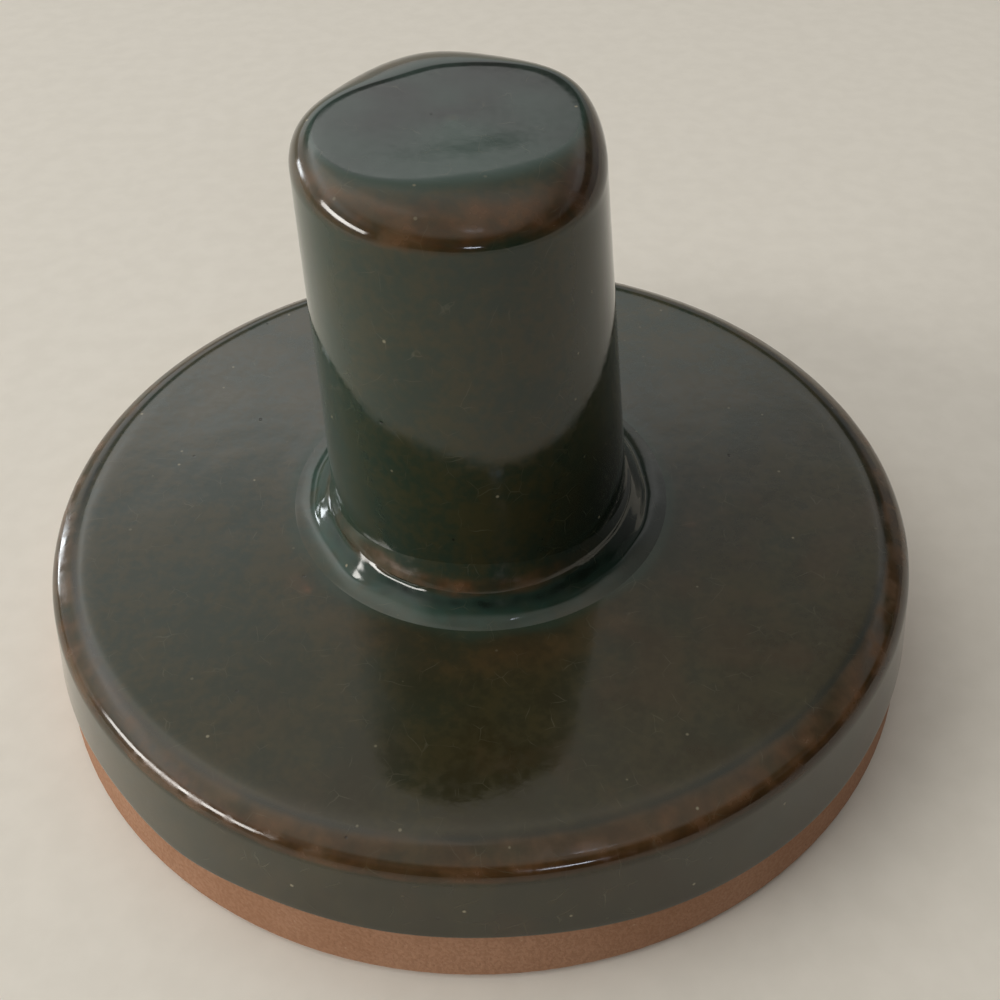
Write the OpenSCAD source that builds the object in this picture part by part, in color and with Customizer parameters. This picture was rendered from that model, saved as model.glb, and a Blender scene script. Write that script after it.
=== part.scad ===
// Terracotta cookie stamp: a carved clay disc with a hand-formed knob luted onto it, dipped in gloss glaze.
// The origin is the middle of the stamp face, which lies on z = 0. The knob points up, along +Z.

/* [Disc] */
// Diameter of the disc at its base
disc_d = 76; // [62:1:96]
// Thickness of the disc's clay
disc_h = 12.5; // [9:0.5:18]
// How much the clay's radius shrinks from the base to the rim
disc_draft = 1.7; // [0.4:0.1:3]
// Rounding of the clay's rim
disc_edge_r = 1.3; // [0.8:0.1:3]
// How far the rounded rim lies below the flat top
rim_drop = 0.5; // [0.2:0.1:1]
// Slope of the top where it falls to the rim, in degrees
rim_slope = 18; // [10:1:30]
// Bevel round the stamp face
base_bevel = 0.6; // [0.2:0.1:1]

/* [Stamp face] */
// Depth of the carved design
cut_depth = 2; // [1:0.1:3]
// Sideways slope of the carved walls, in mm for each mm of depth
cut_slope = 0.5; // [0.2:0.05:0.6]
// Width of the plain border outside the carved ring
border_w = 7; // [5:0.5:9]
// Width of the carved ring
ring_w = 2.4; // [1.6:0.1:3]
// Plain clay between the ring and the tips of the petals
ring_gap = 2; // [1.5:0.1:4]
// Number of carved petals
petal_count = 6; // [5:1:7]
// Width of a petal at its middle
petal_w = 8; // [4:0.2:9]
// Diameter of the carved dot in the middle
hub_d = 5; // [3:0.5:6]
// Plain clay between the middle dot and the petals
hub_gap = 1.6; // [1:0.1:3]
// Diameter of the carved dots between the petals
dot_d = 4.5; // [2:0.5:5]
// Plain clay between those dots and the ring
dot_gap = 2.4; // [1.5:0.1:4]

/* [Handle] */
// Diameter of the handle's clay at its foot
handle_foot_d = 24.6; // [20:0.2:30]
// How much thinner the handle's clay is below its top edge than at its foot
handle_taper = 1.3; // [0:0.1:3]
// Height of the handle's clay, from its foot to the middle of its top
handle_h = 32.2; // [24:0.2:46]
// Height of the handle's rounded top edge
handle_edge_h = 2.1; // [1:0.1:4]
// Mean width of that rounding
handle_edge_w = 3.4; // [2:0.1:5]
// How much wider it is at its two wide places, and narrower between them
handle_edge_swing = 1.8; // [0:0.1:2.5]
// Direction of one of its wide places
handle_edge_turn = 108; // [0:1:180]
// Sideways lean of the top, to the right where positive
handle_lean_x = -1.3; // [-3:0.1:3]
// Lean of the top to the back, and to the front where negative
handle_lean_y = 2.7; // [-3:0.1:3]
// Slant of the top face to the right, in mm of rise for each mm
handle_slant_x = -0.05; // [-0.2:0.01:0.2]
// Slant of the top face to the back, in mm of rise for each mm
handle_slant_y = 0.09; // [-0.2:0.01:0.2]

/* [Squeeze of the fingers] */
// Ovalness of the top, as a share of its radius
squeeze_oval = 0.084; // [0:0.002:0.1]
// Direction of the oval's long axis
squeeze_oval_turn = 73; // [0:1:180]
// Three-sidedness of the top, as a share of its radius
squeeze_three = 0.039; // [0:0.001:0.08]
// Direction of one of the three corners
squeeze_three_turn = 78; // [0:1:120]
// Direction of the flat that the thumb left
thumb_turn = 195; // [0:1:359]
// Distance of the thumb's flat from the middle, as a share of the radius
thumb_reach = 1.1; // [0.88:0.01:1.2]
// Direction of the flat that the fingers left
finger_turn = 67; // [0:1:359]
// Distance of the fingers' flat from the middle, as a share of the radius
finger_reach = 1.06; // [0.88:0.01:1.2]

/* [Luted joint] */
// Thickness of the slip between the disc and the handle
slip_t = 0.6; // [0.4:0.1:1.2]
// Number of scored rings in each face of the joint
score_count = 3; // [2:1:4]
// Width of a scored ring
score_w = 1.4; // [0.8:0.1:2]
// Depth of a scored ring
score_depth = 0.7; // [0.4:0.1:1.2]
// Room between the set slip and the walls of a scored ring
score_ease = 0.05; // [0.03:0.01:0.1]
// How far the clay coil round the foot laps up the handle
coil_lap = 1; // [0.6:0.1:1.4]

/* [Glaze] */
// Thickness of the glaze on the disc and the handle
glaze_t = 0.5; // [0.3:0.05:0.8]
// Height at which the glaze ends on the disc's side
glaze_line = 5.1; // [3:0.1:6]
// Thickness of the glaze over the coil
coil_glaze_t = 0.3; // [0.2:0.05:0.6]
// Width of the pooled glaze, outside the coil
pool_w = 2; // [1.5:0.1:3]
// Extra height of the pooled glaze where it meets the coil
pool_rise = 0.6; // [0.3:0.05:0.7]

/* [Hidden] */

$fn = 96;
past = 1;
clay_colour = "#a4694a";
slip_colour = "#8d5a40";
glaze_colour = "#4a4a3c";
pool_colour = "#4d5c55";

// Disc
disc_r = disc_d / 2;
disc_edge_x = disc_r - disc_draft - disc_edge_r;
disc_edge_z = disc_h - rim_drop - disc_edge_r;

// Stamp face, from the border inwards
ring_r = disc_r - border_w - ring_w / 2;
petal_end = ring_r - ring_w / 2 - ring_gap;
petal_start = hub_d / 2 + hub_gap;
petal_half = (petal_end - petal_start) / 2;
petal_arc_r = (petal_half * petal_half + petal_w * petal_w / 4) / petal_w;
dot_at = ring_r - ring_w / 2 - dot_gap - dot_d / 2;

// Joint
foot_r = handle_foot_d / 2;
top_r = (handle_foot_d - handle_taper) / 2;
foot_z = disc_h + slip_t;
coil_r = slip_t + coil_lap;
score_step = foot_r / (score_count + 1);
bead_r = coil_r + coil_glaze_t;
collar_z = disc_h + bead_r;
pool_r = foot_r + bead_r + pool_w;
pool_arc_r = (pool_w * pool_w + pool_rise * pool_rise) / (2 * pool_rise);
glaze_top = disc_h + glaze_t;

// Handle
handle_sides = 48;
side_steps = 10;
edge_steps = 8;
flat_softness = 10;
upright_z = collar_z + glaze_t;
edge_z = foot_z + handle_h - handle_edge_h;

// Share of the radius that a pressed flat leaves at an angle, as one term of the soft minimum
function pressed(angle, turn, reach) = pow(reach / max(cos(angle - turn), 0.001), -flat_softness);

// Outline of the squeezed top at an angle, as a share of its plain radius
function squeezed(angle) =
    let (
        oval = squeeze_oval * cos(2 * (angle - squeeze_oval_turn)),
        three = squeeze_three * cos(3 * (angle - squeeze_three_turn)),
        plain = pow(1 + oval + three, -flat_softness),
        thumb = pressed(angle, thumb_turn, thumb_reach),
        finger = pressed(angle, finger_turn, finger_reach)
    )
    pow(plain + thumb + finger, -1 / flat_softness);

// Width of the top's rounding at an angle
function edge_w(angle) = handle_edge_w + handle_edge_swing * cos(2 * (angle - handle_edge_turn));

// One ring of the handle at a share of the way up: round and upright at 0, squeezed and leaning at 1.
// Its inset is how much of the top's rounding lies outside it, from 0 to 1.
function handle_ring(r, z, share, inset = 0) = [
    for (i = [0 : handle_sides - 1])
        let (
            angle = 360 * i / handle_sides,
            reach = (r - inset * edge_w(angle)) * (1 + share * (squeezed(angle) - 1)),
            x = reach * cos(angle),
            y = reach * sin(angle),
            slant = share * (handle_slant_x * x + handle_slant_y * y)
        )
        [share * handle_lean_x + x, share * handle_lean_y + y, z + slant]
];

// Rings up the side and over the rounded top edge, a skin's thickness outside the clay
function handle_rings(skin) = concat(
    [
        for (i = [0 : side_steps])
            let (
                share = i / side_steps,
                r = foot_r + (top_r - foot_r) * share + skin,
                z = upright_z + (edge_z - upright_z) * share
            )
            handle_ring(r, z, share)
    ],
    [
        for (i = [1 : edge_steps])
            let (
                angle = 90 * i / edge_steps,
                z = edge_z + (handle_edge_h + skin) * sin(angle)
            )
            handle_ring(top_r + skin * cos(angle), z, 1, 1 - cos(angle))
    ]
);

// Middle of the top face
function handle_peak(skin) = [handle_lean_x, handle_lean_y, foot_z + handle_h + skin];

// Rings across the scored foot, from the middle to the rim
function foot_rings() = concat(
    [
        for (i = [1 : score_count])
            each [
                handle_ring(i * score_step - score_w / 2, foot_z, 0),
                handle_ring(i * score_step, foot_z + score_depth, 0),
                handle_ring(i * score_step + score_w / 2, foot_z, 0)
            ]
    ],
    [handle_ring(foot_r, foot_z, 0)]
);

// Triangles between one ring and the next, and from a ring to a single point
function band_faces(low, high) = [
    for (i = [0 : handle_sides - 1])
        let (next = (i + 1) % handle_sides)
        each [[low + i, high + next, low + next], [low + i, high + i, high + next]]
];
function fan_faces(ring, point) = [
    for (i = [0 : handle_sides - 1])
        [ring + i, point, ring + (i + 1) % handle_sides]
];
function flipped(faces) = [for (face = faces) [face[0], face[2], face[1]]];
function stacked(rings, first) = [
    for (i = [0 : len(rings) - 2])
        each band_faces(first + i * handle_sides, first + (i + 1) * handle_sides)
];
function points_of(rings) = [for (ring = rings) each ring];

// Section of the disc's clay or, a skin's thickness outside it, of its glaze
module disc_section(skin) {
    edge_r = disc_edge_r + skin;
    base = [disc_r - disc_edge_x + skin, -disc_edge_z];
    wall_turn = atan2(base[1], base[0]) + acos(edge_r / norm(base));
    slope_low = [disc_edge_x + edge_r * sin(rim_slope), disc_edge_z + edge_r * cos(rim_slope)];
    slope_high_x = slope_low[0] - (disc_h + skin - slope_low[1]) / tan(rim_slope);
    union() {
        polygon([
            [0, 0],
            [disc_r + skin - base_bevel, 0],
            [disc_r + skin - base_bevel * tan(wall_turn), base_bevel],
            [disc_edge_x + edge_r * cos(wall_turn), disc_edge_z + edge_r * sin(wall_turn)],
            [disc_edge_x, disc_edge_z],
            slope_low,
            [slope_high_x, disc_h + skin],
            [0, disc_h + skin]
        ]);
        translate([disc_edge_x, disc_edge_z]) circle(r = edge_r);
    }
}

// One petal of the design, with walls that close in as they go up into the clay
module petal() {
    intersection_for (side = [-1, 1])
        translate([petal_start + petal_half, side * (petal_arc_r - petal_w / 2), -past])
            cylinder(
                h = cut_depth + past,
                r1 = petal_arc_r + past * cut_slope,
                r2 = petal_arc_r - cut_depth * cut_slope
            );
}

// A round dimple, as deep as a third of its width
module dimple(d) {
    depth = d / 3;
    ball_r = (d * d / 4 + depth * depth) / (2 * depth);
    translate([0, 0, depth - ball_r]) sphere(r = ball_r);
}

// The whole carved design: a compass rosette, dots between its petals and a ring round them
module carved_design() {
    dimple(hub_d);
    for (i = [0 : petal_count - 1]) {
        rotate(360 * i / petal_count) petal();
        rotate(360 * (i + 0.5) / petal_count) translate([dot_at, 0, 0]) dimple(dot_d);
    }
    rotate_extrude() translate([ring_r, 0]) circle(d = ring_w);
}

// Scored rings in the seat on the disc
module seat_score() {
    rotate_extrude()
        for (i = [1 : score_count])
            translate([i * score_step, disc_h])
                polygon([
                    [0, -score_depth],
                    [score_w / 2 * (1 + past / score_depth), past],
                    [-score_w / 2 * (1 + past / score_depth), past]
                ]);
}

module stamp_disc() {
    color(clay_colour) difference() {
        rotate_extrude() disc_section(0);
        carved_design();
        seat_score();
    }
}

module handle() {
    under = foot_rings();
    side = handle_rings(0);
    rings = concat(under, side);
    points = concat(points_of(rings), [[0, 0, foot_z], handle_peak(0)]);
    middle = len(rings) * handle_sides;
    faces = concat(
        flipped(fan_faces(0, middle)),
        stacked(rings, 0),
        fan_faces(middle - handle_sides, middle + 1)
    );
    color(clay_colour) polyhedron(points, faces);
}

module slip_bed() {
    ridge_w = score_w / 2 - score_ease;
    ridge_h = score_depth - score_ease;
    color(slip_colour) rotate_extrude() {
        translate([0, disc_h]) square([foot_r, slip_t]);
        for (i = [1 : score_count])
            translate([i * score_step, disc_h])
                polygon([
                    [-ridge_w, 0],
                    [0, -ridge_h],
                    [ridge_w, 0],
                    [ridge_w, slip_t],
                    [0, slip_t + ridge_h],
                    [-ridge_w, slip_t]
                ]);
    }
}

module joint_coil() {
    color(clay_colour) rotate_extrude()
        translate([foot_r, disc_h])
            intersection() {
                circle(r = coil_r);
                square(coil_r);
            }
}

module disc_glaze() {
    color(glaze_colour) rotate_extrude()
        difference() {
            disc_section(glaze_t);
            disc_section(0);
            square([pool_r, 2 * disc_h]);
            square([2 * disc_r, glaze_line]);
        }
}

module glaze_pool() {
    color(pool_colour) rotate_extrude()
        difference() {
            union() {
                translate([foot_r, disc_h])
                    intersection() {
                        circle(r = bead_r);
                        square(bead_r);
                    }
                translate([foot_r, disc_h]) square([glaze_t, bead_r]);
                difference() {
                    translate([foot_r, disc_h]) square([pool_r - foot_r, glaze_t + pool_rise]);
                    translate([pool_r, glaze_top + pool_arc_r]) circle(r = pool_arc_r);
                }
            }
            translate([foot_r, disc_h]) circle(r = coil_r);
            translate([foot_r - past, 0]) square([past, 2 * collar_z]);
        }
}

module handle_glaze() {
    outer = concat([handle_ring(foot_r + glaze_t, collar_z, 0)], handle_rings(glaze_t));
    inner = concat([handle_ring(foot_r, collar_z, 0)], handle_rings(0));
    inner_first = len(outer) * handle_sides;
    peak = 2 * inner_first;
    points = concat(points_of(outer), points_of(inner), [handle_peak(glaze_t), handle_peak(0)]);
    faces = concat(
        stacked(outer, 0),
        fan_faces(inner_first - handle_sides, peak),
        flipped(stacked(inner, inner_first)),
        flipped(fan_faces(peak - handle_sides, peak + 1)),
        band_faces(inner_first, 0)
    );
    color(glaze_colour) polyhedron(points, faces);
}

stamp_disc();
handle();
slip_bed();
joint_coil();
disc_glaze();
glaze_pool();
handle_glaze();
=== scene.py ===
import math

import bmesh
import bpy
import numpy as np
from mathutils import Matrix, Vector, noise


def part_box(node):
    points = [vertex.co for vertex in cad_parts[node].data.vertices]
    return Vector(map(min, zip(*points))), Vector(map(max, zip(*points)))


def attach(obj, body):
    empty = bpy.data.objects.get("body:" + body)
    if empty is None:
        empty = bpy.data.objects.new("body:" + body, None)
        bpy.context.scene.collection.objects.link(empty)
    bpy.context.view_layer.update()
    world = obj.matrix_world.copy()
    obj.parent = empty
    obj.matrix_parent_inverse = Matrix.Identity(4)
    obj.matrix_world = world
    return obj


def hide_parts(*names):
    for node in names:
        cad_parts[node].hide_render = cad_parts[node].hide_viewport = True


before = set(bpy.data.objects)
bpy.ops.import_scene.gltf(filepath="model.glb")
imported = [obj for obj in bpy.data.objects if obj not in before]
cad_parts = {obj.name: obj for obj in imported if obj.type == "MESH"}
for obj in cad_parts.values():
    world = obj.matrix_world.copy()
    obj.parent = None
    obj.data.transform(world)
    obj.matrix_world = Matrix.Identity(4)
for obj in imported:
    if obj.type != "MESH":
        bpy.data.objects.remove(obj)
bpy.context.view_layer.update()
mm = 0.001
print("frame loaded:", sorted(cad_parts))


# the main lines of the stamp in mm, read off the CAD nodes
def nodeSpan(nodeName):
    low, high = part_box(nodeName)
    return [c / mm for c in low], [c / mm for c in high]


stampLines = {
    "clayTop": nodeSpan("stamp_disc")[1][2],
    "glazeTop": nodeSpan("disc_glaze")[1][2],
    "glazeEnd": nodeSpan("disc_glaze")[0][2],
    "poolRadius": nodeSpan("glaze_pool")[1][0],
    "collar": nodeSpan("handle_glaze")[0][2],
    "footRadius": nodeSpan("slip_bed")[1][0],
    "footHeight": nodeSpan("handle")[0][2],
}
glazeThickness = stampLines["glazeTop"] - stampLines["clayTop"]


# small maths that several pieces use
def smoothStep(low, high, value):
    t = np.clip((np.asarray(value, float) - low) / (high - low), 0, 1)
    return t * t * (3 - 2 * t)


def hump(centre, width, value):
    return np.exp(-((np.asarray(value, float) - centre) / width) ** 2)


def turnGap(angle, other):
    return (np.asarray(angle) - other + 180) % 360 - 180


def turns(count):
    return np.arange(count) * 2 * math.pi / count


# 1 where a piece faces a turn, falling off over a spread; a side is (turn, spread) in degrees, front is -90
def facing(sides, side):
    turn, spread = side
    return hump(0, spread, turnGap(np.degrees(turns(sides)), turn))


seedSteps = (7.31, 3.17, 5.71)


# soft noise from -1 to 1 at points, by the size of its clouds in mm and a seed
def cloud(points, size, seed):
    shift = Vector([seed * step for step in seedSteps])
    values = [noise.noise(Vector(p) / size + shift) for p in points.reshape(-1, 3)]
    return np.array(values).reshape(points.shape[:-1])


# smooth curve through points, with so many steps between two of them
def curveThrough(points, steps):
    p = np.array([points[0], *points, points[-1]], float)
    out = []
    for i in range(1, len(p) - 2):
        for t in np.arange(steps) / steps:
            a = 2 * p[i]
            b = p[i + 1] - p[i - 1]
            c = 2 * p[i - 1] - 5 * p[i] + 4 * p[i + 1] - p[i + 2]
            d = 3 * p[i] - p[i - 1] - 3 * p[i + 1] + p[i + 2]
            out.append((a + b * t + c * t * t + d * t ** 3) / 2)
    return np.array(out + [p[-2]])


def ringAt(radius, height, sides):
    angles = turns(sides)
    radius, height = np.broadcast_to(radius, sides), np.broadcast_to(height, sides)
    return np.stack([radius * np.cos(angles), radius * np.sin(angles), height], -1)


# press a grid of rings inwards by soft noise, so that the mirror in the glaze is uneven
def ruffle(grid, fades, layers, side):
    around = np.roll(grid, -1, 1) - np.roll(grid, 1, 1)
    along = np.gradient(grid, axis=0)
    normal = np.cross(around, along) * side
    normal /= np.linalg.norm(normal, axis=-1, keepdims=True)
    depth = sum(size * (0.5 + 0.5 * cloud(grid, spread, seed)) for size, spread, seed in layers)
    return grid - normal * (depth * np.asarray(fades, float)[:, None])[..., None]


# share of each row of a grid that is ruffled, rising from 0 at both ends over so many rows
def calmEnds(rows, startRows, endRows):
    row = np.arange(rows)
    return smoothStep(0, startRows, row) * smoothStep(0, endRows, rows - 1 - row)


# quads between rings of the same number of points, by the numbers of the rings
def quadsBetween(pairs, count):
    faces = []
    for low, high in pairs:
        for i in range(count):
            j = (i + 1) % count
            faces.append((low * count + i, low * count + j, high * count + j, high * count + i))
    return faces


# a closed mesh from rings of points, with a single point at an end or the last ring joined to the first
def buildSkin(name, rings, startPole=None, endPole=None, loop=False, sharpRings=()):
    count = len(rings[0])
    points = [p for ring in rings for p in ring]
    pairs = [(i, i + 1) for i in range(len(rings) - 1)]
    if loop:
        pairs.append((len(rings) - 1, 0))
    faces = quadsBetween(pairs, count)
    for pole, ring in ((startPole, 0), (endPole, len(rings) - 1)):
        if pole is None:
            continue
        points.append(pole)
        for i in range(count):
            faces.append((ring * count + i, ring * count + (i + 1) % count, len(points) - 1))
    mesh = bpy.data.meshes.new(name)
    mesh.from_pydata([Vector(p) * mm for p in points], [], faces)
    work = bmesh.new()
    work.from_mesh(mesh)
    bmesh.ops.recalc_face_normals(work, faces=work.faces)
    for face in work.faces:
        face.smooth = True
    sharp = {ring * count + i for ring in sharpRings for i in range(count)}
    for edge in work.edges:
        if edge.verts[0].index in sharp and edge.verts[1].index in sharp:
            edge.smooth = edge.verts[0].index // count != edge.verts[1].index // count
    work.to_mesh(mesh)
    work.free()
    piece = bpy.data.objects.new(name, mesh)
    bpy.context.scene.collection.objects.link(piece)
    return piece


# masks are kept on the points: rows for the rings that show, and zero on all that is hidden
def storeMasks(piece, before, after, masks):
    for name, rows in masks.items():
        shown = np.clip(np.asarray(rows, float), 0, 1).ravel()
        layer = piece.data.attributes.new(name, "FLOAT", "POINT")
        layer.data.foreach_set("value", [0.0] * before + [float(v) for v in shown] + [0.0] * after)


# node helpers; new nodes are laid out in rows
nodeLayout = {"columns": 12, "across": 190, "down": -230}


def addNode(tree, kind, inputs=None, **settings):
    made = tree.nodes.new(kind)
    row, column = divmod(len(tree.nodes), nodeLayout["columns"])
    made.location = (nodeLayout["across"] * column, nodeLayout["down"] * row)
    for key, value in settings.items():
        setattr(made, key, value)
    for key, value in (inputs or {}).items():
        if isinstance(value, bpy.types.NodeSocket):
            tree.links.new(value, made.inputs[key])
        else:
            made.inputs[key].default_value = value
    return made


def calc(tree, operation, first, second=0.0, clamp=False):
    inputs = {0: first, 1: second}
    return addNode(tree, "ShaderNodeMath", inputs, operation=operation, use_clamp=clamp).outputs[0]


def remap(tree, value, low, high, toLow=0.0, toHigh=1.0):
    inputs = {"Value": value, "From Min": low, "From Max": high, "To Min": toLow, "To Max": toHigh}
    return addNode(tree, "ShaderNodeMapRange", inputs, interpolation_type="SMOOTHSTEP").outputs[0]


def mixColour(tree, factor, first, second):
    return addNode(tree, "ShaderNodeMix", {0: factor, 6: first, 7: second}, data_type="RGBA").outputs[2]


def mask(tree, name):
    return addNode(tree, "ShaderNodeAttribute", attribute_name=name).outputs["Fac"]


def ramp(tree, value, stops):
    made = addNode(tree, "ShaderNodeValToRGB", {0: value})
    elements = made.color_ramp.elements
    while len(elements) < len(stops):
        elements.new(0.5)
    for element, (position, level) in zip(elements, stops):
        element.position = position
        element.color = (level, level, level, 1.0)
    return made.outputs["Color"]


def rgb(*channels):
    return (*channels, 1.0)


def startMaterial(name):
    material = bpy.data.materials.new(name)
    material.use_nodes = True
    return material, material.node_tree, material.node_tree.nodes["Principled BSDF"]


def startGroup(name, inputs, outputs):
    tree = bpy.data.node_groups.new(name, "ShaderNodeTree")
    for socket, value in inputs.items():
        made = tree.interface.new_socket(socket, in_out="INPUT", socket_type="NodeSocketFloat")
        made.default_value = value
    for socket in outputs:
        tree.interface.new_socket(socket, in_out="OUTPUT", socket_type="NodeSocketFloat")
    return tree, tree.nodes.new("NodeGroupInput"), tree.nodes.new("NodeGroupOutput")


def placeGroup(tree, group, inputs):
    made = addNode(tree, "ShaderNodeGroup", node_tree=group)
    for key, value in inputs.items():
        made.inputs[key].default_value = value
    return made.outputs[0]


def millimetres(tree):
    coords = addNode(tree, "ShaderNodeTexCoord").outputs["Object"]
    return addNode(tree, "ShaderNodeVectorMath", {0: coords, "Scale": 1 / mm}, operation="SCALE").outputs[0]


# fine net of cracks in the glaze: cells of a given size, drawn as thin lines that come and go
crazingForm = {
    "wander": (0.7, 0.7, 0.7),
    "wanderNoise": {"Scale": 0.5, "Detail": 2.0},
    "patchNoise": {"Scale": 0.55, "Detail": 1.0},
    "patchFull": 0.72,
}


def makeCrazing(form):
    tree, given, out = startGroup("Crazing", {"Size": 4.0, "Width": 0.05, "Fade": 0.5}, ["Lines"])
    place = millimetres(tree)
    wander = addNode(tree, "ShaderNodeTexNoise", {"Vector": place, **form["wanderNoise"]}).outputs["Color"]
    shift = {0: wander, 1: form["wander"], 2: place}
    bent = addNode(tree, "ShaderNodeVectorMath", shift, operation="MULTIPLY_ADD")
    scale = calc(tree, "DIVIDE", 1.0, given.outputs["Size"])
    cells = addNode(tree, "ShaderNodeTexVoronoi", {"Vector": bent.outputs[0], "Scale": scale},
                    feature="DISTANCE_TO_EDGE").outputs["Distance"]
    reach = calc(tree, "MULTIPLY", cells, given.outputs["Size"])
    line = calc(tree, "SUBTRACT", 1.0, calc(tree, "DIVIDE", reach, given.outputs["Width"]), clamp=True)
    patches = addNode(tree, "ShaderNodeTexNoise", {"Vector": place, **form["patchNoise"]}).outputs["Fac"]
    fade = {"Value": patches, "From Min": given.outputs["Fade"], "From Max": form["patchFull"]}
    shown = addNode(tree, "ShaderNodeMapRange", fade)
    tree.links.new(calc(tree, "MULTIPLY", line, shown.outputs[0]), out.inputs["Lines"])
    return tree


# scattered specks: a share of the cells holds one round speck, some fainter than others
speckForm = {
    "faintest": 0.2,
    "edge": (0.2, 0.7),
}


def makeSpecks(form):
    tree, given, out = startGroup("Specks", {"Spacing": 3.0, "Radius": 0.12, "Share": 0.3}, ["Specks"])
    place = millimetres(tree)
    scale = calc(tree, "DIVIDE", 1.0, given.outputs["Spacing"])
    cells = addNode(tree, "ShaderNodeTexVoronoi", {"Vector": place, "Scale": scale}, feature="F1")
    reach = calc(tree, "MULTIPLY", cells.outputs["Distance"], given.outputs["Spacing"])
    dot = calc(tree, "SUBTRACT", 1.0, calc(tree, "DIVIDE", reach, given.outputs["Radius"]), clamp=True)
    draw = addNode(tree, "ShaderNodeSeparateColor", {0: cells.outputs["Color"]}).outputs
    chosen = calc(tree, "LESS_THAN", draw[0], given.outputs["Share"])
    strength = calc(tree, "MULTIPLY", chosen, remap(tree, draw[1], 0.0, 1.0, form["faintest"], 1.0))
    shown = calc(tree, "MULTIPLY", remap(tree, dot, *form["edge"]), strength)
    tree.links.new(shown, out.inputs["Specks"])
    return tree


# soft clouds at one size, spread from the noise's own range to 0 to 1
cloudForm = {"noiseRange": (0.3, 0.7)}


def makeClouds(form):
    tree, given, out = startGroup("Clouds", {"Size": 10.0, "Detail": 4.0, "Seed": 0.0}, ["Clouds"])
    place = addNode(tree, "ShaderNodeVectorMath", {0: millimetres(tree)}, operation="ADD")
    tree.links.new(given.outputs["Seed"], place.inputs[1])
    scale = calc(tree, "DIVIDE", 1.0, given.outputs["Size"])
    cloudTexture = addNode(tree, "ShaderNodeTexNoise", {"Vector": place.outputs[0], "Scale": scale})
    tree.links.new(given.outputs["Detail"], cloudTexture.inputs["Detail"])
    spread = remap(tree, cloudTexture.outputs["Fac"], *form["noiseRange"])
    tree.links.new(spread, out.inputs["Clouds"])
    return tree


crazing = makeCrazing(crazingForm)
specks = makeSpecks(speckForm)
clouds = makeClouds(cloudForm)
print("node groups made:", [g.name for g in (crazing, specks, clouds)])


# gloss glaze over dark clay: green, brown where it runs thin, teal where it lies thick and as painted light
# on the lit left of the handle; painted shade in the creases and on the shaded right
glazeFinish = {
    "green": rgb(0.019, 0.030, 0.019),
    "olive": rgb(0.040, 0.037, 0.016),
    "russet": rgb(0.050, 0.032, 0.014),
    "umber": rgb(0.025, 0.017, 0.004),
    "thin": rgb(0.115, 0.055, 0.021),
    "thinDark": rgb(0.050, 0.026, 0.010),
    # painted shade: a darker brown on the shaded right of the edges
    "shadedBrown": rgb(0.024, 0.011, 0.004),
    "thick": rgb(0.024, 0.053, 0.040),
    # painted shade: near black in creases, corners and on the shaded right
    "paintedShade": rgb(0.006, 0.011, 0.007),
    "crack": rgb(0.120, 0.115, 0.078),
    "speck": rgb(0.22, 0.20, 0.135),
    "pit": rgb(0.010, 0.007, 0.005),
    "broadClouds": {"Size": 7.0, "Seed": 3.0},
    "streakClouds": {"Size": 2.6, "Seed": 11.0},
    "mistClouds": {"Size": 0.7, "Detail": 2.0, "Seed": 29.0},
    "rustClouds": {"Size": 4.5, "Detail": 6.0, "Seed": 71.0},
    "broadShare": 0.4,
    "streakShare": 0.3,
    "mistShare": 0.3,
    "oliveTone": (0.15, 0.85),
    "umberTone": (0.2, 0.8),
    "umberLeast": 0.6,
    "rustRange": (0.55, 1.0),
    "cracks": {"Size": 2.4, "Width": 0.032, "Fade": 0.5},
    "crackShow": 0.42,
    "specks": {"Spacing": 2.3, "Radius": 0.22, "Share": 0.55},
    "pits": {"Spacing": 3.7, "Radius": 0.26, "Share": 0.5},
    "rustShow": 0.4,
    "rustLeast": 0.03,
    "thinLeast": 0.75,
    "roughLow": 0.07,
    "roughHigh": 0.12,
    "dull": 0.2,
    "dullStreaks": (0.4, 0.8),
    "ior": 1.53,
    "rippleHeight": 0.000006,
    "rippleShare": 0.6,
    "pitDepth": 2.0,
}


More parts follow.
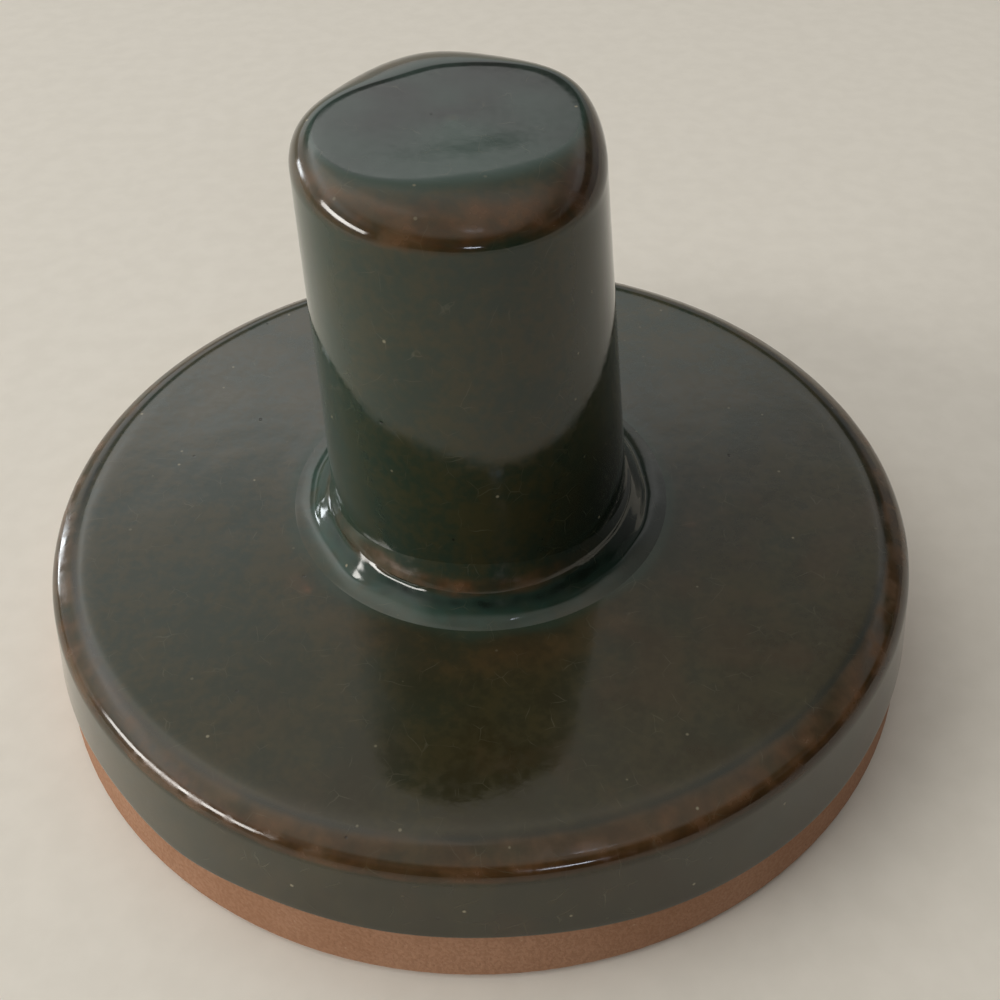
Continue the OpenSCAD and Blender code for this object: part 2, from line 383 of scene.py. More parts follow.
def makeGlaze(name, look):
    material, tree, shader = startMaterial(name)
    broad = placeGroup(tree, clouds, look["broadClouds"])
    streak = placeGroup(tree, clouds, look["streakClouds"])
    mist = placeGroup(tree, clouds, look["mistClouds"])
    tone = calc(tree, "MULTIPLY", broad, look["broadShare"])
    tone = calc(tree, "ADD", tone, calc(tree, "MULTIPLY", streak, look["streakShare"]))
    tone = calc(tree, "ADD", tone, calc(tree, "MULTIPLY", mist, look["mistShare"]))
    colour = mixColour(tree, remap(tree, tone, *look["oliveTone"]), look["green"], look["olive"])
    # browner towards the front right of the disc, with some rust in it
    warm = mask(tree, "warming")
    warmth = calc(tree, "MULTIPLY", warm, remap(tree, tone, *look["umberTone"], 1.0, look["umberLeast"]))
    colour = mixColour(tree, warmth, colour, look["umber"])
    rust = placeGroup(tree, clouds, look["rustClouds"])
    rust = remap(tree, rust, *look["rustRange"], 0.0, look["rustShow"])
    rust = calc(tree, "MULTIPLY", rust, calc(tree, "ADD", look["rustLeast"], warm), clamp=True)
    colour = mixColour(tree, rust, colour, look["russet"])
    # thick and thin glaze, then painted shade: a darker brown and a near black
    colour = mixColour(tree, mask(tree, "poolingAndLitSide"), colour, look["thick"])
    brown = mixColour(tree, streak, look["thinDark"], look["thin"])
    thinness = mask(tree, "breaking")
    misty = calc(tree, "MULTIPLY", mist, 1 - look["thinLeast"])
    edge = calc(tree, "MULTIPLY", thinness, calc(tree, "ADD", look["thinLeast"], misty))
    colour = mixColour(tree, edge, colour, brown)
    colour = mixColour(tree, mask(tree, "brownShading"), colour, look["shadedBrown"])
    colour = mixColour(tree, mask(tree, "paintedShade"), colour, look["paintedShade"])
    # cracks, pale specks and pinholes
    cracks = calc(tree, "MULTIPLY", placeGroup(tree, crazing, look["cracks"]), look["crackShow"])
    colour = mixColour(tree, cracks, colour, look["crack"])
    colour = mixColour(tree, placeGroup(tree, specks, look["specks"]), colour, look["speck"])
    pits = placeGroup(tree, specks, look["pits"])
    colour = mixColour(tree, pits, colour, look["pit"])
    tree.links.new(colour, shader.inputs["Base Color"])
    rough = remap(tree, mist, 0.0, 1.0, look["roughLow"], look["roughHigh"])
    dull = calc(tree, "MULTIPLY", thinness, remap(tree, streak, *look["dullStreaks"], 0.0, look["dull"]))
    tree.links.new(calc(tree, "ADD", rough, dull), shader.inputs["Roughness"])
    shader.inputs["IOR"].default_value = look["ior"]
    height = calc(tree, "MULTIPLY", streak, look["rippleShare"])
    height = calc(tree, "SUBTRACT", height, calc(tree, "MULTIPLY", pits, look["pitDepth"]))
    relief = {"Height": height, "Strength": 1.0, "Distance": look["rippleHeight"]}
    tree.links.new(addNode(tree, "ShaderNodeBump", relief).outputs["Normal"], shader.inputs["Normal"])
    return material


# bare fired clay
clayFinish = {
    "warm": rgb(0.320, 0.160, 0.085),
    "pale": rgb(0.370, 0.198, 0.115),
    "dark": rgb(0.205, 0.098, 0.050),
    "grit": rgb(0.43, 0.29, 0.19),
    "pit": rgb(0.13, 0.062, 0.034),
    "broadClouds": {"Size": 9.0, "Seed": 5.0},
    "grainClouds": {"Size": 0.3, "Detail": 3.0, "Seed": 17.0},
    "grainShow": 0.35,
    "grits": {"Spacing": 0.9, "Radius": 0.14, "Share": 0.3},
    "pits": {"Spacing": 1.5, "Radius": 0.16, "Share": 0.3},
    "grainHeight": 0.00003,
    "grainStrength": 0.8,
    "pitDepth": 2.0,
    "roughLow": 0.78,
    "roughHigh": 0.95,
}


def makeClay(name, look):
    material, tree, shader = startMaterial(name)
    broad = placeGroup(tree, clouds, look["broadClouds"])
    grain = placeGroup(tree, clouds, look["grainClouds"])
    colour = mixColour(tree, broad, look["warm"], look["pale"])
    colour = mixColour(tree, calc(tree, "MULTIPLY", grain, look["grainShow"]), colour, look["dark"])
    colour = mixColour(tree, placeGroup(tree, specks, look["grits"]), colour, look["grit"])
    pits = placeGroup(tree, specks, look["pits"])
    colour = mixColour(tree, pits, colour, look["pit"])
    tree.links.new(colour, shader.inputs["Base Color"])
    rough = remap(tree, grain, 0.0, 1.0, look["roughLow"], look["roughHigh"])
    tree.links.new(rough, shader.inputs["Roughness"])
    height = calc(tree, "SUBTRACT", grain, calc(tree, "MULTIPLY", pits, look["pitDepth"]))
    relief = {"Height": height, "Strength": look["grainStrength"], "Distance": look["grainHeight"]}
    tree.links.new(addNode(tree, "ShaderNodeBump", relief).outputs["Normal"], shader.inputs["Normal"])
    return material


dippedGlaze = makeGlaze("dippedGlaze", glazeFinish)
bareClay = makeClay("bareClay", clayFinish)
print("finishes made")


# hand-formed handle: the same squeeze, lean and slant as its clay, and the sides and bounds of its masks;
# its section is counted in degrees, from 0 on the side to 90 on the top
handleForm = {
    "topRadius": 11.65,
    "height": 32.2,
    "edgeDrop": 2.1,
    "edgeWidth": 3.4,
    "edgeSwing": 1.8,
    "edgeTurn": 108.0,
    "bevel": 0.15,
    "bevelTurn": 105.0,
    "bevelEnds": (75, 115),
    "dish": 0.15,
    "leanX": -1.3,
    "leanY": 2.7,
    "slantX": -0.05,
    "slantY": 0.09,
    "oval": 0.084,
    "ovalTurn": 73.0,
    "three": 0.039,
    "threeTurn": 78.0,
    "thumbTurn": 195.0,
    "thumbReach": 1.1,
    "fingerTurn": 67.0,
    "fingerReach": 1.06,
    "flatSoftness": 10.0,
    "flare": 1.07,
    "flareLeast": 0.15,
    "bendLeast": 0.12,
    "flareSide": (-95.0, 52.0),
    "flareRows": 7,
    "ruffles": [(0.05, 8.0, 2), (0.012, 2.8, 4)],
    "calmRows": (10, 6),
    "mottle": (3.4, 21),
    "fleck": (1.1, 23),
    "brownSide": (-70.0, 75.0),
    "brownStart": 14.0,
    "brownFringe": 9.0,
    "brownLeast": (0, 8),
    "brownEnd": (48, 72),
    "footBrown": 0.65,
    "footBrownSide": (-104.0, 48.0),
    "footBrownRise": (0.6, 1.1),
    # painted light: teal on the left of the side makes the side facing the window lighter
    "litLeft": 0.55,
    "litLeftSide": (-165.0, 45.0),
    "litLeftEnd": (0, 20),
    "topThick": (66, 84),
    # painted shade: the crease behind the top, the right of the side, the lower front right, and a darker
    # brown on the right of the edge
    "crease": (89, 5),
    "creaseFreeSide": (-85.0, 70.0),
    "dark": 0.4,
    "darkSide": (-8.0, 42.0),
    "darkEnd": (0, 30),
    "lowDark": 0.6,
    "lowDarkSide": (-32.0, 36.0),
    "lowDarkTop": (20, 27),
    "shadedBrown": 0.7,
    "shadedBrownStart": (5, 20),
    "shadedBrownEnd": (50, 70),
    "sides": 288,
    "sideRows": 72,
    "rowSpacing": 1.25,
    "edgeRows": 28,
    "crownRows": 12,
}


def squeezed(angles, form):
    degrees = np.degrees(angles)
    oval = form["oval"] * np.cos(np.radians(2 * (degrees - form["ovalTurn"])))
    three = form["three"] * np.cos(np.radians(3 * (degrees - form["threeTurn"])))
    total = (1 + oval + three) ** -form["flatSoftness"]
    for turn, reach in ((form["thumbTurn"], form["thumbReach"]), (form["fingerTurn"], form["fingerReach"])):
        near = np.maximum(np.cos(np.radians(degrees - turn)), 0.001)
        total = total + (reach / near) ** -form["flatSoftness"]
    return total ** (-1 / form["flatSoftness"])


def edgeWidth(form):
    swing = np.cos(2 * (turns(form["sides"]) - math.radians(form["edgeTurn"])))
    return form["edgeWidth"] + form["edgeSwing"] * swing


# how far the glaze at the foot stands out, most at the front
def footFlare(form):
    front = facing(form["sides"], form["flareSide"])
    return form["flare"] * (form["flareLeast"] + (1 - form["flareLeast"]) * front)


def handleRing(radius, inset, height, share, form, shrink=1.0):
    angles = turns(form["sides"])
    reach = (radius - inset * edgeWidth(form)) * (1 + share * (squeezed(angles, form) - 1)) * shrink
    x, y = reach * np.cos(angles), reach * np.sin(angles)
    slant = share * (form["slantX"] * x + form["slantY"] * y)
    return np.stack([share * form["leanX"] + x, share * form["leanY"] + y, height + slant], -1)


# rings from the collar up to the crown, each with its section in degrees, and the middle of the top
def handleRings(skin, form, flare, dish, bevel):
    foot, top, collar = stampLines["footRadius"], form["topRadius"], stampLines["collar"]
    upright = collar + glazeThickness
    peak = stampLines["footHeight"] + form["height"] + skin
    edgeHeight = stampLines["footHeight"] + form["height"] - form["edgeDrop"]
    rings, sections = [handleRing(foot + skin + flare, 0.0, collar, 0.0, form)], [0.0]
    # straight flare up to a bend, which is lower where the flare is narrow, then the side
    shares = np.linspace(0, 1, form["sideRows"] + 1) ** form["rowSpacing"]
    flareTop = upright + (edgeHeight - upright) * shares[form["flareRows"]]
    bend = collar + (flareTop - collar) * np.maximum(flare / form["flare"], form["bendLeast"])
    for share in shares:
        height = upright + (edgeHeight - upright) * share
        below = max(0.0, (flareTop - height) / (flareTop - collar))
        above = max(0.0, (height - flareTop) / (edgeHeight - flareTop))
        height = bend + (edgeHeight - bend) * above - (bend - collar) * below
        radius = foot + (top - foot) * share + skin + flare * below
        rings.append(handleRing(radius, 0.0, height, share, form))
        sections.append(0.0)
    # rounded edge, bevelled at the back
    drop = form["edgeDrop"] + skin
    gap = np.abs(turnGap(np.degrees(turns(form["sides"])), form["bevelTurn"]))
    chamfer = bevel * (1 - smoothStep(*form["bevelEnds"], gap)) * edgeWidth(form) / drop
    for turn in np.linspace(0, math.pi / 2, form["edgeRows"] + 1)[1:]:
        radius, inset = top + skin * math.cos(turn), 1 - math.cos(turn)
        height = edgeHeight + drop * ((1 - chamfer) * math.sin(turn) + chamfer * inset)
        rings.append(handleRing(radius, inset, height, 1.0, form))
        sections.append(math.degrees(turn))
    for shrink in 1 - np.arange(1, form["crownRows"]) / form["crownRows"]:
        rings.append(handleRing(top, 1.0, peak - dish * (1 - shrink ** 2) ** 2, 1.0, form, shrink))
        sections.append(90.0)
    return np.array(rings), np.array(sections), [form["leanX"], form["leanY"], peak - dish]


def makeHandleGlaze(form):
    sides = form["sides"]
    smooth, sections, peak = handleRings(glazeThickness, form, footFlare(form), form["dish"], form["bevel"])
    inner, _, innerPeak = handleRings(0.0, form, 0.0, 0.0, 0.0)
    rows = len(smooth)
    outer = ruffle(smooth, calmEnds(rows, *form["calmRows"]), form["ruffles"], 1)
    sharp = [rows - 1, rows, rows + 1 + form["flareRows"]]
    piece = buildSkin("handle_glaze_coat", [*inner[::-1], *outer], innerPeak, peak, sharpRings=sharp)

    section, height = sections[:, None], smooth[..., 2]
    mottle, fleck = cloud(smooth, *form["mottle"]), cloud(smooth, *form["fleck"])
    # brown on the top edge and on the flare at the foot
    low, fringe = form["brownStart"] + 16 * mottle + 9 * fleck, form["brownFringe"]
    edge = smoothStep(low - fringe, low + fringe, section) * smoothStep(*form["brownLeast"], section)
    edge = edge * (1 - smoothStep(*form["brownEnd"], section + 10 * mottle))
    edge = edge * (0.25 + 0.75 * facing(sides, form["brownSide"])) * (0.95 + 0.5 * fleck)
    foot = 1 - smoothStep(*form["footBrownRise"], height - stampLines["collar"] + 0.3 * mottle)
    foot = form["footBrown"] * foot * facing(sides, form["footBrownSide"]) * (1 + fleck)
    # thick on the top; on the left of the side the teal is painted light, lighter where the window falls
    thick = facing(sides, form["litLeftSide"]) * (1 - smoothStep(*form["litLeftEnd"], section))
    thick = form["litLeft"] * thick + smoothStep(*form["topThick"], section)
    # painted shade: dark in the crease behind the top, down the right and low on the front right; a darker
    # brown on the right of the edge
    crease = hump(*form["crease"], section) * (1 - facing(sides, form["creaseFreeSide"]))
    right = facing(sides, form["darkSide"])
    lower = facing(sides, form["lowDarkSide"]) * (1 - smoothStep(*form["lowDarkTop"], height))
    dark = crease * (0.8 + 0.6 * mottle) + form["lowDark"] * lower
    dark = dark + form["dark"] * right * (1 - smoothStep(*form["darkEnd"], section))
    shadedBrown = smoothStep(*form["shadedBrownStart"], section) * (1 - smoothStep(*form["shadedBrownEnd"], section))
    shadedBrown = form["shadedBrown"] * right * shadedBrown * (1 + fleck)
    masks = {"breaking": edge + foot, "poolingAndLitSide": thick, "paintedShade": dark, "brownShading": shadedBrown}
    storeMasks(piece, len(inner) * sides, 2, masks)
    return piece


handleCoat = makeHandleGlaze(handleForm)
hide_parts("handle_glaze")
print("handle glaze:", len(handleCoat.data.vertices), "points")


# disc: one section for the clay and, a skin's thickness outside it, for the glaze
discForm = {
    "radius": 38.0,
    "draft": 1.7,
    "edgeRadius": 1.3,
    "rimDrop": 0.5,
    "creaseReach": 34.6,
    "creaseIn": 0.8,
    "creaseSide": (-58.0, 38.0),
    "creaseWidth": 0.45,
    "creaseRun": 2.0,
    "groove": 0.02,
    "grooveWidth": 0.35,
    "dish": 0.42,
    "dishPower": 4,
    "lineWaves": [(3, 0.16, 1.1), (7, 0.10, 0.4), (13, 0.06, 2.2)],
    "lineRuns": [((-128.0, 8.0), 0.5), ((-50.0, 18.0), 0.5)],
    "lipRound": 0.45,
    "thinSpots": [(-15.1, -10.6, 0.7), (-14.2, -11.3, 0.4), (17.6, -5.2, 0.35)],
    "ruffles": [(0.03, 7.5, 6), (0.007, 2.6, 8)],
    "calmRows": (5, 10),
    "mottle": (4.2, 41),
    "fleck": (1.3, 43),
    "tiltRun": 1.2,
    "crestStart": (-0.05, 0.2),
    "crestEnd": (0.55, 0.72),
    "slopeBrown": 0.45,
    "slopeStart": (6, 16),
    "slopeEnd": (0.0, 0.2),
    "frontBrown": 0.22,
    "frontRing": (18.6, 2.0),
    "frontSide": (-90.0, 42.0),
    # painted shade: a darker brown on the right of the crest
    "shadedBrownSide": (-25.0, 60.0),
    "shadedBrownBend": (0.5, 0.16),
    "thick": 0.5,
    "thickEnd": (16.2, 17.4),
    # painted shade: dark in the crease
    "darkRing": (0.0, 0.3),
    "warmWay": (0.6, -0.8),
    "warmReach": (-8, 32),
    "sides": 384,
    "flatRows": 34,
    "creaseRows": 26,
    "edgeRows": 26,
    "wallRows": 16,
    "lipRows": 7,
    "clayShares": (0.35, 0.7, 1.0),
    "clayRows": 6,
}


# the rounded rim: its centre, its radius, the turn of the wall below it, and all round it the reach of
# the crease inside it, the slope that falls from the crease and the reach where it meets the rounding
def rimLines(skin, form):
    centreX = form["radius"] - form["draft"] - form["edgeRadius"]
    centreZ = stampLines["clayTop"] - form["rimDrop"] - form["edgeRadius"]
    radius = form["edgeRadius"] + skin
    baseX = form["radius"] + skin - centreX
    turn = math.atan2(-centreZ, baseX) + math.acos(radius / math.hypot(baseX, centreZ))
    crease = form["creaseReach"] - form["creaseIn"] * facing(form["sides"], form["creaseSide"])
    rise, out = stampLines["clayTop"] + skin - centreZ, centreX - crease
    slope = np.arctan2(rise, out) - np.arcsin(radius / np.hypot(rise, out))
    return {"x": centreX, "z": centreZ, "radius": radius, "turn": turn, "crease": crease, "slope": slope,
            "meet": centreX + radius * np.sin(slope)}


def rimRing(angle, rim, sides):
    reach = rim["x"] + rim["radius"] * np.cos(angle)
    return ringAt(reach, rim["z"] + rim["radius"] * np.sin(angle), sides)


def wallRadius(height, skin, form):
    return form["radius"] + skin - np.asarray(height) * math.tan(rimLines(skin, form)["turn"])


# wavy lower edge of the glaze, with a few runs below it
def glazeLine(form):
    angles = turns(form["sides"])
    line = np.full(form["sides"], stampLines["glazeEnd"])
    for count, size, phase in form["lineWaves"]:
        line += size * np.sin(count * angles + phase)
    for side, depth in form["lineRuns"]:
        line -= depth * facing(form["sides"], side)
    return line


# top of the disc: a shallow dish, then falling to the rim over a soft crease with a shallow groove
def topHeight(r, rim, form):
    soft = form["creaseWidth"]
    run = rim["meet"] - rim["crease"]
    fall = run * np.logaddexp(0, (r - rim["crease"]) / soft) / np.logaddexp(0, run / soft)
    hollow = form["dish"] * (1 - np.minimum(r / rim["crease"], 1) ** form["dishPower"])
    ditch = form["groove"] * hump(rim["crease"], form["grooveWidth"], r)
    return stampLines["glazeTop"] - fall * np.tan(rim["slope"]) - hollow - ditch


# pooled glaze round the foot: its outline goes out from the wall and up from the disc's glaze, between the
# end of the handle's flare and the disc; at the sides it is drawn in and sinks into the disc's glaze
poolForm = {
    "outline": [(1.13, 1.70), (1.23, 1.56), (1.4, 1.365), (1.8, 0.955), (2.2, 0.615), (2.6, 0.35),
                (3.0, 0.15)],
    "steps": 6,
    "drawStart": 2.4,
    "sinkReach": (1.9, 3.2),
    "coilRadius": 1.6,
    "coilRows": 8,
    "wobble": 0.07,
    "heave": (4.5, 31),
    "swell": (4.5, 37),
    "swellShare": 0.3,
    "mottle": (3.0, 33),
    "fleck": (1.0, 35),
    "brown": 0.65,
    "brownSide": (-104.0, 48.0),
    "brownEnd": (1.05, 1.35),
    "thickStart": (1.05, 1.4),
    "thickEnd": (2.4, 3.3),
    # painted shade: dark in the corner by the foot and on the right of the pool
    "cornerReach": (1.6, 0.4),
    "cornerSide": (-92.0, 60.0),
    "dark": 0.85,
    "darkSide": (-15.0, 48.0),
    "sides": 288,
}


def makePoolGlaze(form):
    sides = form["sides"]
    foot, clay, coil = stampLines["footRadius"], stampLines["clayTop"], form["coilRadius"]
    collar, end = stampLines["collar"], stampLines["poolRadius"]
    wall = foot + glazeThickness
    level = topHeight(end, rimLines(glazeThickness, discForm), discForm)[0]
    outline = [(handleForm["flare"], collar - level), *form["outline"], (end - wall, 0.0)]
    profile = curveThrough(outline, form["steps"])
    drawnIn = handleForm["flare"] - footFlare(handleForm)
    narrow = drawnIn / handleForm["flare"]
    outer = []
    for r, z in profile:
        inset = drawnIn * (1 - smoothStep(form["drawStart"], end - wall, r))
        rise = z * (1 - narrow * smoothStep(*form["sinkReach"], r))
        outer.append(ringAt(wall + r - inset, level + rise, sides))
    outer = np.array(outer)
    middle = form["wobble"] * np.sin(np.linspace(0, math.pi, len(profile)))[:, None]
    outer[..., 2] += middle * cloud(outer, *form["heave"])
    outer[..., :2] *= (1 + form["swellShare"] * middle * cloud(outer, *form["swell"]))[..., None]
    inner = [ringAt(end, clay, sides)]
    for angle in np.radians(np.linspace(0, 90, form["coilRows"] + 1)):
        inner.append(ringAt(foot + coil * math.cos(angle), clay + coil * math.sin(angle), sides))
    inner.append(ringAt(foot, collar, sides))
    rings, last = [*outer, *inner], len(outer) - 1
    piece = buildSkin("foot_glaze_pool", rings, loop=True, sharpRings=[0, last, last + 1, len(rings) - 1])

    reach = profile[:, 0][:, None]
    mottle, fleck = cloud(outer, *form["mottle"]), cloud(outer, *form["fleck"])
    brown = 1 - smoothStep(*form["brownEnd"], reach + 0.25 * mottle)
    brown = form["brown"] * facing(sides, form["brownSide"]) * brown * (1 + fleck)
    thin = smoothStep(*form["thickEnd"], reach + 0.3 * mottle) * (0.4 + 0.6 * narrow)
    thick = smoothStep(*form["thickStart"], reach) * (0.8 + 0.7 * fleck) * (1 - thin)
    # painted shade: dark in the corner by the foot and on the right of the pool
    corner = hump(*form["cornerReach"], reach) * (0.2 + 0.35 * facing(sides, form["cornerSide"]))
    dark = corner * (1 + mottle + fleck) + form["dark"] * facing(sides, form["darkSide"])
    masks = {"breaking": brown, "poolingAndLitSide": thick, "paintedShade": dark}
    storeMasks(piece, 0, len(inner) * sides, masks)
    return piece


poolCoat = makePoolGlaze(poolForm)
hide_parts("glaze_pool")
print("glaze pool:", len(poolCoat.data.vertices), "points")


def makeDiscGlaze(form):
    sides, end = form["sides"], stampLines["poolRadius"]
    rim, clay = rimLines(glazeThickness, form), rimLines(0.0, form)
    line, lip = glazeLine(form), form["lipRound"]
    slopeTilt = np.degrees(rim["slope"])
    outer, tilts = [], []
    # top and slope, rounded rim, wall, and the lip at the lower edge, each ring with its tilt in degrees
    creaseStart = rim["crease"] - form["creaseRun"]
    flat = np.linspace(np.full(sides, end), creaseStart, form["flatRows"] + 1)
    crease = np.linspace(creaseStart, rim["meet"], form["creaseRows"] + 1)[1:]
    for r in [*flat, *crease]:
        outer.append(ringAt(r, topHeight(r, rim, form), sides))
        tilts.append(slopeTilt * smoothStep(-form["tiltRun"], form["tiltRun"], r - rim["crease"]))
    rimStart, rimEnd = math.pi / 2 - rim["slope"], np.full(sides, rim["turn"])
    for angle in np.linspace(rimStart, rimEnd, form["edgeRows"] + 1)[1:]:
        outer.append(rimRing(angle, rim, sides))
        tilts.append(90 - np.degrees(angle))
    wallTop = rim["z"] + rim["radius"] * math.sin(rim["turn"])
    for share in np.arange(1, form["wallRows"] + 1) / form["wallRows"]:
        height = wallTop + (line + lip - wallTop) * share
        outer.append(ringAt(wallRadius(height, glazeThickness, form), height, sides))
        tilts.append(np.full(sides, 90.0))
    for angle in np.radians(np.linspace(0, 90, form["lipRows"] + 1)[1:]):
        height = line + lip * (1 - math.sin(angle))
        outer.append(ringAt(wallRadius(height, glazeThickness * math.cos(angle), form), height, sides))
        tilts.append(np.full(sides, 100.0))
    # back along the clay
    inner = []
    clayWallTop = clay["z"] + clay["radius"] * math.sin(clay["turn"])
    for share in form["clayShares"]:
        height = line + (clayWallTop - line) * share
        inner.append(ringAt(wallRadius(height, 0.0, form), height, sides))
    clayStart, clayEnd = np.full(sides, clay["turn"]), math.pi / 2 - clay["slope"]
    for angle in np.linspace(clayStart, clayEnd, form["clayRows"] + 1)[1:]:
        inner.append(rimRing(angle, clay, sides))
    inner.append(ringAt(clay["crease"], stampLines["clayTop"], sides))
    inner.append(ringAt(end, stampLines["clayTop"], sides))

    smooth, tilt = np.array(outer), np.array(tilts)
    outer = ruffle(smooth, calmEnds(len(outer), *form["calmRows"]), form["ruffles"], -1)
    last = len(outer) + len(inner) - 1
    piece = buildSkin("disc_glaze_coat", [*outer, *inner], loop=True, sharpRings=[0, last, len(outer) - 1])

    x, y = smooth[..., 0], smooth[..., 1]
    reach, onTop = np.hypot(x, y), tilt < 1
    mottle, fleck = cloud(smooth, *form["mottle"]), cloud(smooth, *form["fleck"])
    bend = (tilt - slopeTilt) / (90 - slopeTilt)
    # brown on the crest, on the slope inside it, in front of the pool and in a few thin spots
    rising, uneven = bend + 0.06 * mottle, bend + 0.1 * mottle
    crest = smoothStep(*form["crestStart"], rising) * (1 - smoothStep(*form["crestEnd"], uneven))
    slope = smoothStep(*form["slopeStart"], tilt) * (1 - smoothStep(*form["slopeEnd"], bend))
    front = hump(*form["frontRing"], reach) * facing(sides, form["frontSide"]) * onTop
    spot = sum(hump(0, size, np.hypot(x - spotX, y - spotY)) for spotX, spotY, size in form["thinSpots"])
    brown = crest * (0.85 + 0.5 * fleck) + form["slopeBrown"] * slope * (1 + fleck)
    brown = brown + form["frontBrown"] * front * (1 + mottle) + spot * onTop * (0.8 + fleck)
    # painted shade: a darker brown on the right of the crest and dark in the crease; thick by the pool,
    # warm towards the front right
    shadedBrown = facing(sides, form["shadedBrownSide"]) * hump(*form["shadedBrownBend"], uneven) * (0.85 + 0.4 * fleck)
    thick = form["thick"] * (1 - smoothStep(*form["thickEnd"], reach + 0.7 * mottle)) * onTop
    dark = hump(*form["darkRing"], reach - rim["crease"]) * (0.6 + 0.5 * mottle) * (bend < 0)
    warmX, warmY = form["warmWay"]
    warm = smoothStep(*form["warmReach"], warmX * x + warmY * y) * (0.8 + 0.4 * mottle)
    masks = {"warming": warm, "breaking": brown, "poolingAndLitSide": thick, "paintedShade": dark, "brownShading": shadedBrown}
    storeMasks(piece, 0, len(inner) * sides, masks)
    return piece


discCoat = makeDiscGlaze(discForm)
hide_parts("disc_glaze")
print("disc glaze:", len(discCoat.data.vertices), "points")

for coat in (handleCoat, poolCoat, discCoat):
    coat.data.materials.append(dippedGlaze)
    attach(coat, "root")
for nodeName in ("stamp_disc", "handle", "slip_bed", "joint_coil"):
    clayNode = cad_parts[nodeName]
    clayNode.data.materials.clear()
    clayNode.data.materials.append(bareClay)
print("pieces dressed")


# stage: a pale table that rises gently far away; lengths in metres
stageForm = {
    "colour": rgb(0.785, 0.755, 0.69),
    "shade": rgb(0.755, 0.725, 0.66),
    "fibreClouds": {"Size": 3.0, "Detail": 6.0, "Seed": 51.0},
    "roughness": 0.7,
    "middle": 0.2,
    "radius": 1.5,
    "rise": 0.35,
    "rim": 2.3,
    "sides": 96,
}


def makeTable(form):
    count = form["sides"]
    outline = ((form["middle"], 0), (form["radius"], 0), (form["rim"], form["rise"]))
    points = [Vector(p) for r, z in outline for p in ringAt(r, z, count)]
    mesh = bpy.data.meshes.new("table")
    mesh.from_pydata(points, [], [tuple(range(count)), *quadsBetween([(0, 1), (1, 2)], count)])
    table = bpy.data.objects.new("table", mesh)
    bpy.context.scene.collection.objects.link(table)
    material, tree, shader = startMaterial("paleTable")
    fibre = placeGroup(tree, clouds, form["fibreClouds"])
    tree.links.new(mixColour(tree, fibre, form["colour"], form["shade"]), shader.inputs["Base Color"])
    shader.inputs["Roughness"].default_value = form["roughness"]
    mesh.materials.append(material)


makeTable(stageForm)

# lamps: a low window on the left, a narrow one behind it and two small cool lamps in front; each aims at
# the stamp from a turn from the back and a height, in degrees, and a distance in metres
lampForms = {
    "window": {
        "aim": (-110, 21, 0.8),
        "size": (0.58, 0.13),
        "power": 0.92,
        "spread": 90,
        "colour": (1.0, 0.97, 0.92),
    },
    "strip": {
        "aim": (-57, 9, 1.5),
        "size": (0.28, 0.17),
        "power": 0.46,
        "spread": 90,
        "colour": (0.90, 0.96, 1.0),
    },
    "lamp": {
        "aim": (164, 29, 1.0),
        "size": (0.15, 0.05),
        "power": 0.36,
        "spread": 180,
        "colour": (0.80, 0.86, 1.0),
    },
    "spot": {
        "aim": (140, 70, 1.0),
        "size": (0.05, 0.05),
        "power": 0.07,
        "spread": 180,
        "colour": (0.80, 0.86, 1.0),
    },
}


def lampPlace(turn, height, distance):
    turn, height = math.radians(turn), math.radians(height)
    flat = math.cos(height)
    return Vector((math.sin(turn) * flat, math.cos(turn) * flat, math.sin(height))) * distance


def makeLamp(name, form):
    lamp = bpy.data.lights.new(name, "AREA")
    lamp.shape = "RECTANGLE"
    lamp.size, lamp.size_y = form["size"]
    lamp.energy = form["power"]
    lamp.spread = math.radians(form["spread"])
    lamp.color = form["colour"]
    holder = bpy.data.objects.new(name, lamp)
    place = lampPlace(*form["aim"])
    holder.location = place
    holder.rotation_euler = (-place).to_track_quat("-Z", "Y").to_euler()
    holder.visible_camera = False
    bpy.context.scene.collection.objects.link(holder)


for lampName, lampForm in lampForms.items():
    makeLamp(lampName, lampForm)

# room: bright on the left and behind, dark in front, with a soft ceiling; its levels go by turn from the
# back and by height, in degrees
roomForm = {
    "colour": rgb(1.0, 0.99, 0.97),
    "level": 3.25,
    "byTurn": [(-180, 0.02), (-135, 0.1), (-90, 0.75), (-65, 1.0), (-45, 0.92), (-25, 0.72), (-12, 0.57),
               (0, 0.42), (11, 0.33), (17, 0.29), (25, 0.27), (60, 0.19), (90, 0.05), (135, 0.01),
               (180, 0.02)],
    "backHeight": [(0, 0.38), (20, 0.38), (23, 0.1), (32, 0.1), (34, 0.76), (38.2, 0.85), (38.9, 1.0),
                   (40, 0.86), (41.5, 0.62), (43.6, 0.52), (47, 0.46), (50.5, 0.40), (56, 0.32), (62, 0.26),
                   (90, 0.14)],
    "leftHeight": [(0, 0.26), (26, 0.24), (34, 0.45), (40, 0.7), (47, 0.62), (56, 0.46), (62, 0.34),
                   (90, 0.14)],
    "leftToBack": (-48, -28),
    "ceilingColour": rgb(1.0, 0.94, 0.85),
    "ceilingTint": (42, 52),
    "ceilingLevel": 0.55,
    "ceilingHeight": (48, 64),
}


def turnShare(degrees):
    return (degrees + 180) / 360


def heightRamp(tree, height, stops):
    return ramp(tree, height, [(degrees / 90, level) for degrees, level in stops])


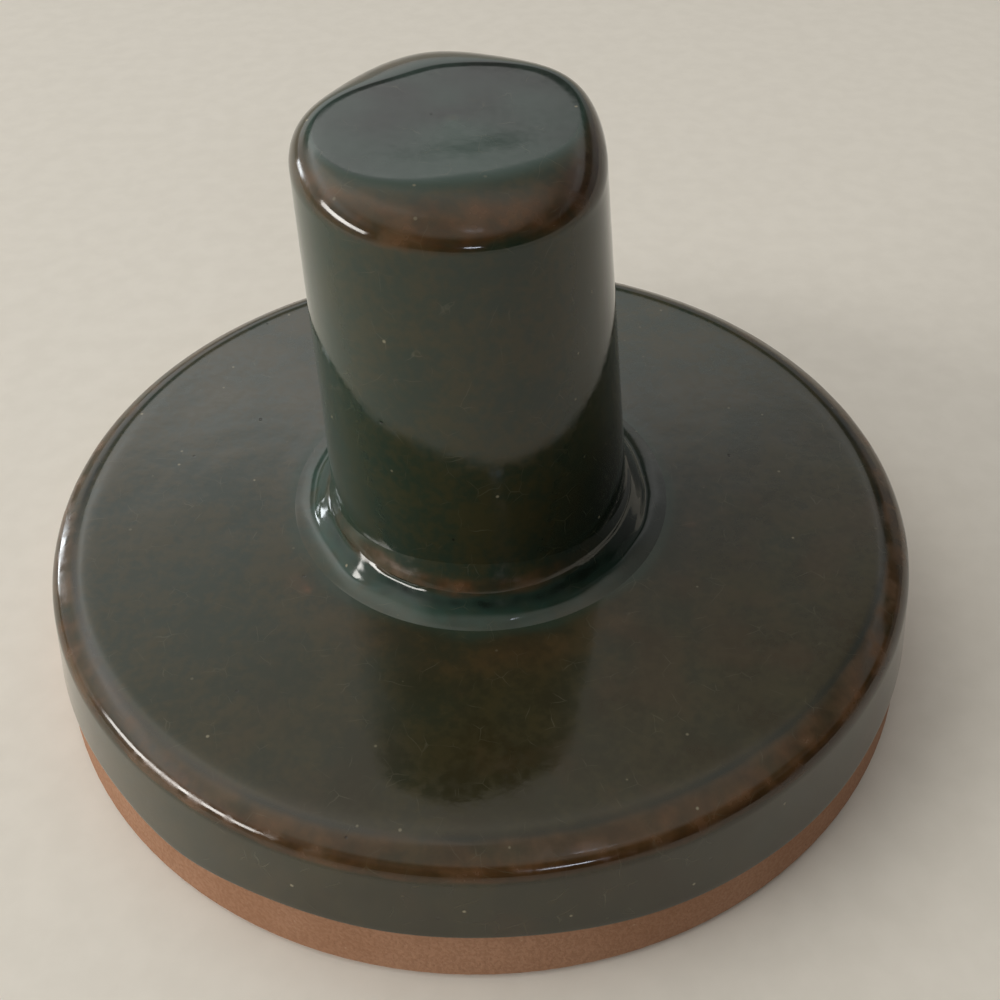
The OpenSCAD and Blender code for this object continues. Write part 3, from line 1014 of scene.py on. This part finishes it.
def makeRoom(form):
    world = bpy.data.worlds.new("room")
    world.use_nodes = True
    bpy.context.scene.world = world
    tree, background = world.node_tree, world.node_tree.nodes["Background"]
    direction = addNode(tree, "ShaderNodeTexCoord").outputs["Generated"]
    x, y, z = addNode(tree, "ShaderNodeSeparateXYZ", {0: direction}).outputs
    turn = calc(tree, "ADD", calc(tree, "DIVIDE", calc(tree, "ARCTAN2", x, y), 2 * math.pi), 0.5)
    height = calc(tree, "DIVIDE", calc(tree, "ARCSINE", z), math.pi / 2, clamp=True)
    byTurn = ramp(tree, turn, [(turnShare(degrees), level) for degrees, level in form["byTurn"]])
    back = heightRamp(tree, height, form["backHeight"])
    left = heightRamp(tree, height, form["leftHeight"])
    byHeight = mixColour(tree, remap(tree, turn, *(turnShare(t) for t in form["leftToBack"])), left, back)
    level = calc(tree, "MULTIPLY", calc(tree, "MULTIPLY", byTurn, byHeight), form["level"])
    ceiling = remap(tree, height, *(h / 90 for h in form["ceilingHeight"]), 0.0, form["ceilingLevel"])
    tree.links.new(calc(tree, "ADD", level, ceiling), background.inputs["Strength"])
    tint = remap(tree, height, *(h / 90 for h in form["ceilingTint"]))
    tree.links.new(mixColour(tree, tint, form["colour"], form["ceilingColour"]), background.inputs["Color"])


makeRoom(roomForm)

# camera: close above the front edge, as a hand holds it
cameraForm = {
    "place": (0.0, -0.07414, 0.08211),
    "aim": (0.00167, 0.0, 0.01115),
    "roll": -0.68,
    "lens": 41.63,
    "sensor": 36.0,
    "clipStart": 0.005,
}


def makeCamera(form):
    data = bpy.data.cameras.new("camera")
    data.lens = form["lens"]
    data.sensor_width = form["sensor"]
    data.clip_start = form["clipStart"]
    camera = bpy.data.objects.new("camera", data)
    bpy.context.scene.collection.objects.link(camera)
    place = Vector(form["place"])
    turn = (Vector(form["aim"]) - place).to_track_quat("-Z", "Y").to_matrix().to_4x4()
    roll = Matrix.Rotation(math.radians(form["roll"]), 4, "Z")
    camera.matrix_world = Matrix.Translation(place) @ turn @ roll
    bpy.context.scene.camera = camera


makeCamera(cameraForm)
bpy.context.scene.view_settings.view_transform = "Standard"
print("stage, light and camera ready")
